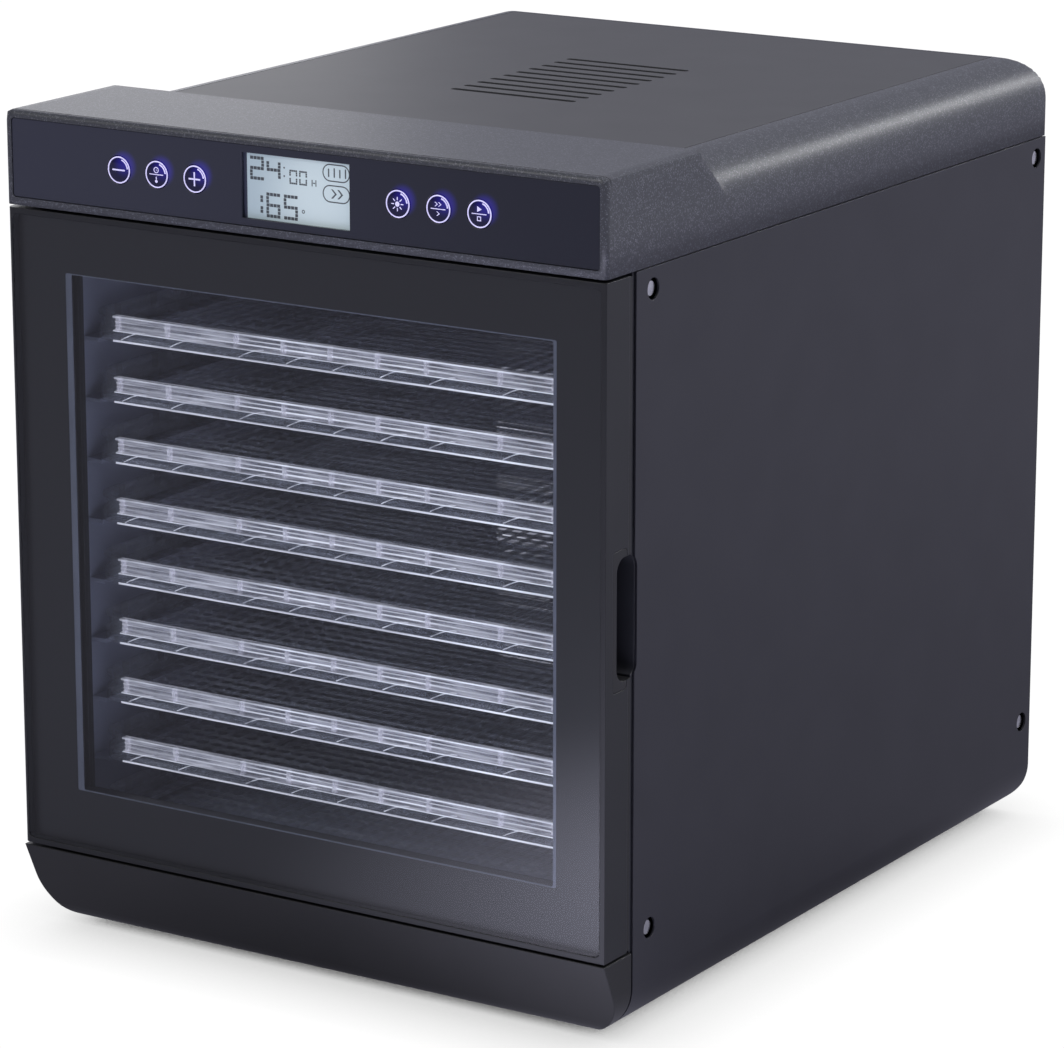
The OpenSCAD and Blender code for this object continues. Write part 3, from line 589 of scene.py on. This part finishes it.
readout = []
for figure, x, z, width, height, weight, count in (
        ("2", 4.4, -12.2, 6.6, 9.8, 1.5, 2), ("4", 14.0, -12.2, 6.6, 9.8, 1.5, 2),
        ("0", 26.8, -12.6, 3.7, 6.0, 0.8, 2), ("0", 32.4, -12.6, 3.7, 6.0, 0.8, 2),
        ("1", 4.0, -29.6, 6.2, 10.4, 1.5, 2), ("6", 13.6, -29.6, 6.6, 10.4, 1.5, 2),
        ("5", 23.7, -29.6, 6.6, 10.4, 1.5, 2)):
    readout += digit(figure, x, z, width, height, weight, count)
readout += [circle(23.4, z, 0.45, 10) for z in (-5.6, -9.6)]
readout += [bar(39.4, -12.7, 39.4, -10.0, 0.5), bar(41.6, -12.7, 41.6, -10.0, 0.5)]
readout += [bar(40.1, -11.35, 40.9, -11.35, 0.5)]
readout += [circle(34.2, -25.6, 0.9, 14), circle(34.2, -25.6, 0.5, 14)]
readout += bubble(45.4, -9.6, 61.0, -1.2, 0.55) + bubble(45.4, -19.6, 61.0, -11.2, 0.55)
readout += [bar(48.9 + 3.2 * k, -7.2, 48.9 + 3.2 * k, -3.8 + 0.5 * (k % 2), 0.7) for k in range(4)]
readout += [[(x, -13.2), (x + 2.2, -15.4), (x, -17.6), (x + 1.0, -17.6), (x + 3.2, -15.4), (x + 1.0, -13.2)]
            for x in (50.2, 53.8)]
marks = cut_plate("lcd_segments", readout, screen_y - 0.06 * MM, screen_y - 0.01 * MM, 0.0, lcd_corner)
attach(marks, "cabinet")
lcd_frame = cut_plate("lcd_frame", [cell_outline, [(1.9, -LCD_H - 0.6), (LCD_W + 0.9, -LCD_H - 0.6),
                                                   (LCD_W + 0.9, 0.6), (1.9, 0.6)]],
                      screen_y - 0.08 * MM, screen_y - 0.005 * MM, 0.0, lcd_corner)
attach(lcd_frame, "cabinet")
lcd_frame.data.materials.append(satin("moulded_abs_lcd_frame", "#43475a", "#4c5064", 0.4))
segment_ink, tree, shader = new_material("lcd_segment", Roughness=0.5, IOR=1.5)
mottle(tree, shader, 9 * MM, "#4f555a", "#595f64")
marks.data.materials.append(segment_ink)

# ---------- keys ----------
# Domed acrylic keys over blue lamps. A white ring and a sign are printed on each, and a bright
# glowing crescent under the ring's upper right is a painted highlight.
key_gloss, tree, shader = new_material("domed_acrylic_key", Roughness=0.08, IOR=1.49)
shader.inputs["Base Color"].default_value = linear("#15142e")
key_place = add_node(tree, "TexCoord").outputs["Generated"]
key_flat = add_node(tree, "VectorMath", {"operation": "MULTIPLY", 1: (1, 0, 1)}, {0: key_place})
key_light = spread(tree, key_flat.outputs["Vector"], (0.72, 0.0, 0.70), 0.04, 0.48, 0.26, 0.02)
tree.links.new(key_light, shader.inputs["Emission Strength"])
shader.inputs["Emission Color"].default_value = linear("#3d2fe0")
# Lit white for the printed rings and signs, and for the painted highlight crescents.
lit_print_and_painted_highlight, tree, shader = new_material("lit_white_print_and_painted_highlight", Roughness=0.4, IOR=1.5, Emission_Strength=0.50)
mottle(tree, shader, 4 * MM, "#c9c5ea", "#e6e2fb")
shader.inputs["Emission Color"].default_value = linear("#d6d0ff")

RING_R, RING_W = KEY_R - 0.15, 0.62
# A painted highlight: a glowing crescent under the ring's upper right.
painted_highlight_crescent = circle(0, 0, 5.6, 12, 8, 62) + list(reversed(circle(0.5, 0.45, 4.35, 12, 4, 70)))
SIGNS = {
    "minus": [bar(-3.4, 0, 3.4, 0, 0.75)],
    "plus": [[(-0.38, 3.4), (-0.38, 0.38), (-3.4, 0.38), (-3.4, -0.38), (-0.38, -0.38), (-0.38, -3.4),
              (0.38, -3.4), (0.38, -0.38), (3.4, -0.38), (3.4, 0.38), (0.38, 0.38), (0.38, 3.4)]],
    "mode": [bar(-3.9, 0, 3.9, 0, 0.4), circle(0, 2.2, 1.5, 20), circle(0, 2.2, 1.1, 20),
             bar(0, 2.2, 0.5, 2.2, 0.3), circle(0, -3.3, 0.75, 12), bar(0, -2.2, 0, -1.2, 0.5)],
    "warm": [circle(0, 0, 1.2, 16)] + [
        bar(2.0 * math.cos(t), 2.0 * math.sin(t), 3.2 * math.cos(t), 3.2 * math.sin(t), 0.45)
        for t in (math.radians(45 * k) for k in range(8))],
    "speed": [bar(-3.9, 0, 3.9, 0, 0.4)] + [
        [(x, z + 1.0), (x + 1.3, z), (x, z - 1.0), (x + 0.55, z - 1.0), (x + 1.85, z), (x + 0.55, z + 1.0)]
        for x, z in ((-1.9, 2.2), (0.1, 2.2), (-0.9, -2.2))],
    "power": [bar(-3.9, 0, 3.9, 0, 0.4), [(-1.0, 0.9), (1.5, 2.25), (-1.0, 3.6)],
              [(-1.1, -3.3), (1.1, -3.3), (1.1, -1.1), (-1.1, -1.1)],
              [(-0.7, -2.9), (0.7, -2.9), (0.7, -1.5), (-0.7, -1.5)]],
}
for key in KEYS:
    low, high = key_boxes[key]
    spot = (key_spots[key].x, key_spots[key].z)
    finish_cad(key_gloss, "button_" + key)
    ring = cut_plate("key_ring_" + key, [circle(0, 0, RING_R), circle(0, 0, RING_R - RING_W)],
                     low.y + 0.25 * MM, low.y + 0.55 * MM, 0.0, spot)
    sign = cut_plate("key_sign_" + key, SIGNS[key], low.y - 0.004 * MM, low.y + 0.2 * MM, 0.0, spot)
    painted_highlight = cut_plate("key_painted_highlight_" + key, [painted_highlight_crescent], low.y + 0.1 * MM, low.y + 0.4 * MM, 0.0, spot)
    for piece in (ring, sign, painted_highlight):
        piece.data.materials.append(lit_print_and_painted_highlight)
        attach(piece, "key_" + key)

# ---------- door ----------
# A black ABS frame carries a sheet of tempered glass on foam tape. The glass has a black border
# fired onto its back, so only the window is clear, and the frame's moulded edge shows round it.
finish_cad(satin("moulded_abs_door", "#1c1d20", "#202124", 0.38, edge=0.8 * MM), "door_frame")
finish_cad(satin("moulded_abs_door_back", "#1e1e20", "#222224", 0.45), "door_back", "door_grip")
finish_cad(satin("foam_tape", "#0f0f10", "#131314", 0.85, 0.5 * MM, 0.1 * MM), "glass_adhesive")

glass_low, glass_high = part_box("door_glass")
WINDOW_LEFT, WINDOW_RIGHT, WINDOW_LOW, WINDOW_TOP = 28.7 * MM, 26.5 * MM, 28.5 * MM, 27.5 * MM
window_low = (glass_low.x + WINDOW_LEFT, glass_low.z + WINDOW_LOW)
window_high = (glass_high.x - WINDOW_RIGHT, glass_high.z - WINDOW_TOP)
PRINT_T = 0.04 * MM
border = cut_plate("door_print", [
    in_mm(rounded((glass_low.x + 0.3 * MM, glass_low.z + 0.3 * MM),
                  (glass_high.x - 0.3 * MM, glass_high.z - 0.3 * MM), 2.8 * MM)),
    in_mm(rounded(window_low, window_high, 1.0 * MM))],
    glass_high.y - 0.01 * MM - PRINT_T, glass_high.y - 0.01 * MM)
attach(border, "door")
ink, tree, shader = new_material("fired_black_enamel", Roughness=0.35, IOR=1.5)
mottle(tree, shader, 80 * MM, "#08080a", "#0a0a0c")
border.data.materials.append(ink)

# A light grey strip behind the glass round the window is painted light: it stands in for the lit reveal of
# the door frame.
REVEAL_OUT, REVEAL_LEFT, REVEAL_RIGHT, REVEAL_EDGE = 2 * MM, 3.6 * MM, 1.8 * MM, 0.6 * MM
lit_reveal_strip = cut_plate("window_lit_reveal_strip", [
    in_mm(rounded((window_low[0] - REVEAL_OUT, window_low[1] - REVEAL_OUT),
                  (window_high[0] + REVEAL_OUT, window_high[1] + REVEAL_OUT), 2 * MM)),
    in_mm(rounded((window_low[0] + REVEAL_LEFT, window_low[1] + REVEAL_EDGE),
                  (window_high[0] - REVEAL_RIGHT, window_high[1] - REVEAL_EDGE), 1 * MM))],
    glass_high.y + 0.08 * MM, glass_high.y + 0.5 * MM)
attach(lit_reveal_strip, "door")
lit_reveal_strip.data.materials.append(satin("painted_lit_reveal_grey", "#6d6f7d", "#7b7d8b", 0.35))

float_glass = bpy.data.materials.new("polished_float_glass")
float_glass.use_nodes = True
tree = float_glass.node_tree
tree.nodes.clear()
glass_fresnel = add_node(tree, "Fresnel", {"IOR": 1.52})
glass_mirror = add_node(tree, "BsdfGlossy", {"Color": linear("#ffffff"), "Roughness": 0.06})
glass_clear = add_node(tree, "BsdfTransparent", {"Color": linear("#f1f4f5")})
glass_front = add_node(tree, "Math", {"operation": "SUBTRACT", 0: 1.0},
                       {1: add_node(tree, "NewGeometry").outputs["Backfacing"]}).outputs["Value"]
glass_share = sums(tree, "MULTIPLY", glass_fresnel.outputs["Fac"], glass_front)
glass_mix = add_node(tree, "MixShader", links={0: glass_share, 1: glass_clear.outputs["BSDF"],
                                              2: glass_mirror.outputs["BSDF"]})
add_node(tree, "OutputMaterial", links={"Surface": glass_mix.outputs["Shader"]})
finish_cad(float_glass, "door_glass")

# ---------- trays ----------
# Nine clear polycarbonate mouldings. Each has an open lattice floor and a rim with a lip, a
# channel crossed by ribs, and a plain lower band. The rim's edges glow with painted light, and its frosted
# parts with a weaker painted glow.
TRAY_R = 18.0
tray_low, tray_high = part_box("tray_1")
TRAY_W, TRAY_D, TRAY_H = [(tray_high - tray_low)[k] / MM for k in range(3)]
RIM = [
    # outwards, height, finish of the strip up to the next point: 0 clear, 1 frosted with a painted glow, 2
    # painted edge glow
    (0.0, 0.0, 2), (0.0, 1.0, 0), (-0.15, 5.2, 2), (-0.2, 5.7, 1), (-2.2, 6.1, 1), (-2.2, 7.2, 2),
    (-1.8, 7.6, 2), (-2.2, 8.0, 1), (-2.2, 9.4, 2), (-1.8, 9.7, 2), (-2.2, 10.0, 1), (-2.2, 11.4, 0),
    (-0.4, 11.9, 1), (0.0, 12.2, 2), (0.0, TRAY_H, 1), (-3.6, TRAY_H, 0), (-3.6, 5.8, 0), (-1.8, 4.6, 0),
    (-1.8, 0.0, 2)]
RIBS_X = (0, 27.5, 55.5, 97, 127)
RIBS_Y = [26 + 30 * k for k in range(11)]
LATTICE, LATTICE_W = 9.0, 1.3
CORNER_STEPS = 10
# the stretches of the outline that are the back and the front rail
STRAIGHT = (CORNER_STEPS, 3 * CORNER_STEPS + 2)


def rim_path(outwards):
    """The tray's outline in x and y, moved outwards, with its front edge on y = 0."""
    points = []
    for cx, cy, start in ((1, 1, 0), (-1, 1, 90), (-1, 0, 180), (1, 0, 270)):
        x = cx * (TRAY_W / 2 - TRAY_R)
        y = TRAY_D - TRAY_R if cy else TRAY_R
        for k in range(CORNER_STEPS + 1):
            turn = math.radians(start + 90 * k / CORNER_STEPS)
            radius = TRAY_R + outwards
            points.append((x + radius * math.cos(turn), y + radius * math.sin(turn)))
    return points


def add_block(mesh, low, high, finish):
    """Adds a box between two corners in millimetres."""
    corners = [mesh.verts.new([(low, high)[(n >> k) & 1][k] for k in range(3)]) for n in range(8)]
    for loop in ((0, 2, 3, 1), (4, 5, 7, 6), (0, 1, 5, 4), (2, 6, 7, 3), (0, 4, 6, 2), (1, 3, 7, 5)):
        face = mesh.faces.new([corners[n] for n in loop])
        face.material_index = finish


def reach_at(offset, half):
    """How far the tray's inside goes at offset from its middle, short of the round corners."""
    radius = TRAY_R - 1.9
    over = abs(offset) - (half - 1.9 - radius)
    return 0 if over <= 0 else radius - math.sqrt(max(radius ** 2 - over ** 2, 0))


tray = bmesh.new()
loops = [[tray.verts.new((x, y, height)) for x, y in rim_path(outwards)] for outwards, height, _ in RIM]
for i, (_, _, look) in enumerate(RIM):
    near, far = loops[i], loops[(i + 1) % len(RIM)]
    for k in range(len(near)):
        n = (k + 1) % len(near)
        rail = k in STRAIGHT
        tray.faces.new((near[k], near[n], far[n], far[k])).material_index = look if rail else 0
for x in sorted({s * x for x in RIBS_X for s in (-1, 1)}):
    for front, back in ((0.05, 3.0), (TRAY_D - 3.0, TRAY_D - 0.05)):
        add_block(tray, (x - 0.7, front, 5.6), (x + 0.7, back, 12.6), 1)
    add_block(tray, (x - 0.5, 1.7, 0.3), (x + 0.5, 4.4, 6.0), 0)
for y in RIBS_Y:
    for s in (-1, 1):
        ends = sorted((s * (TRAY_W / 2 - 0.05), s * (TRAY_W / 2 - 3.0)))
        add_block(tray, (ends[0], y - 0.7, 5.6), (ends[1], y + 0.7, 12.6), 0)
# Thin arcs rising from the ribs' feet, with the painted edge glow.
for x in (-127, -97, -55.5, -27.5, 0, 27.5, 55.5, 97):
    arc = [(x + 1 + 15 * t / 8, 0.5 + 5.0 * math.sin(math.radians(90 * t / 8))) for t in range(9)]
    lines = [[tray.verts.new((ax, y, az + lift)) for ax, az in arc]
             for y, lift in ((1.9, 0), (1.9, 0.55), (2.6, 0.55))]
    for near, far in zip(lines, lines[1:]):
        for k in range(8):
            tray.faces.new((near[k], near[k + 1], far[k + 1], far[k])).material_index = 2
columns = int((TRAY_W - 8) / LATTICE / 2)
for k in range(-columns, columns + 1):
    x = k * LATTICE
    short = reach_at(x, TRAY_W / 2) + 1.85
    add_block(tray, (x - LATTICE_W / 2, short, 0.7), (x + LATTICE_W / 2, TRAY_D - short, 2.0), 0)
lines = int((TRAY_D - 8) / LATTICE / 2)
for k in range(-lines, lines + 1):
    y = TRAY_D / 2 + k * LATTICE
    short = TRAY_W / 2 - reach_at(y - TRAY_D / 2, TRAY_D / 2) - 1.85
    add_block(tray, (-short, y - LATTICE_W / 2, 0.6), (short, y + LATTICE_W / 2, 1.9), 0)
bmesh.ops.recalc_face_normals(tray, faces=tray.faces)
bmesh.ops.scale(tray, vec=(MM, MM, MM), verts=tray.verts)
tray_mesh = bpy.data.meshes.new("clear_tray")
tray.to_mesh(tray_mesh)
tray.free()
smooth(tray_mesh, 30)


def polycarbonate(name, low_alpha, high_alpha, rough, dark, light, painted_glow, streak):
    """Clear polycarbonate, which shows more edge on and where flow lines streak metres long scatter light,
    with a painted glow of the given strength.
    """
    made, tree, shader = new_material(name, Roughness=rough, IOR=1.58, Coat_Weight=0.5, Coat_Roughness=0.05,
                                      Emission_Strength=painted_glow, Emission_Color="#e4e2f2")
    flow_place = add_node(tree, "Mapping", {"Scale": (1 / streak, 0.3 / MM, 0.45 / MM)},
                          {"Vector": add_node(tree, "TexCoord").outputs["Object"]}).outputs["Vector"]
    flow = add_node(tree, "TexNoise", {"Scale": 1.0, "Detail": 2.0}, {"Vector": flow_place}).outputs["Fac"]
    tree.links.new(ramp(tree, flow, (0.35, dark), (0.65, light)), shader.inputs["Base Color"])
    seen = add_node(tree, "LayerWeight", {"Blend": 0.5}).outputs["Facing"]
    flow_share = add_node(tree, "MapRange",
                          {"From Min": 0.35, "From Max": 0.65, "To Min": 0.35, "To Max": 1.0},
                          {"Value": flow}).outputs["Result"]
    alpha = add_node(tree, "MapRange", {"To Min": low_alpha, "To Max": high_alpha}, {"Value": seen})
    tree.links.new(sums(tree, "MULTIPLY", alpha.outputs["Result"], flow_share), shader.inputs["Alpha"])
    return made


# Clear plastic, frosted plastic with a painted glow, and edges that glow with painted light.
for made in (polycarbonate("clear_polycarbonate", 0.09, 0.50, 0.08, "#b4b7c6", "#d8dae6", 0.0, 40 * MM),
             polycarbonate("frosted_polycarbonate_painted_glow", 0.42, 0.95, 0.18, "#b3b0c0", "#f6f2fa", 0.32, 22 * MM),
             polycarbonate("polycarbonate_painted_edge_glow", 0.95, 1.0, 0.12, "#e6e4ee", "#ffffff", 0.72, 60 * MM)):
    tray_mesh.materials.append(made)
for k in range(1, 10):
    low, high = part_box(f"tray_{k}")
    piece = new_object(f"clear_tray_{k}", tray_mesh)
    piece.location = (0, low.y, low.z)
    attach(piece, f"tray_{k}_body")
    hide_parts(f"tray_{k}")
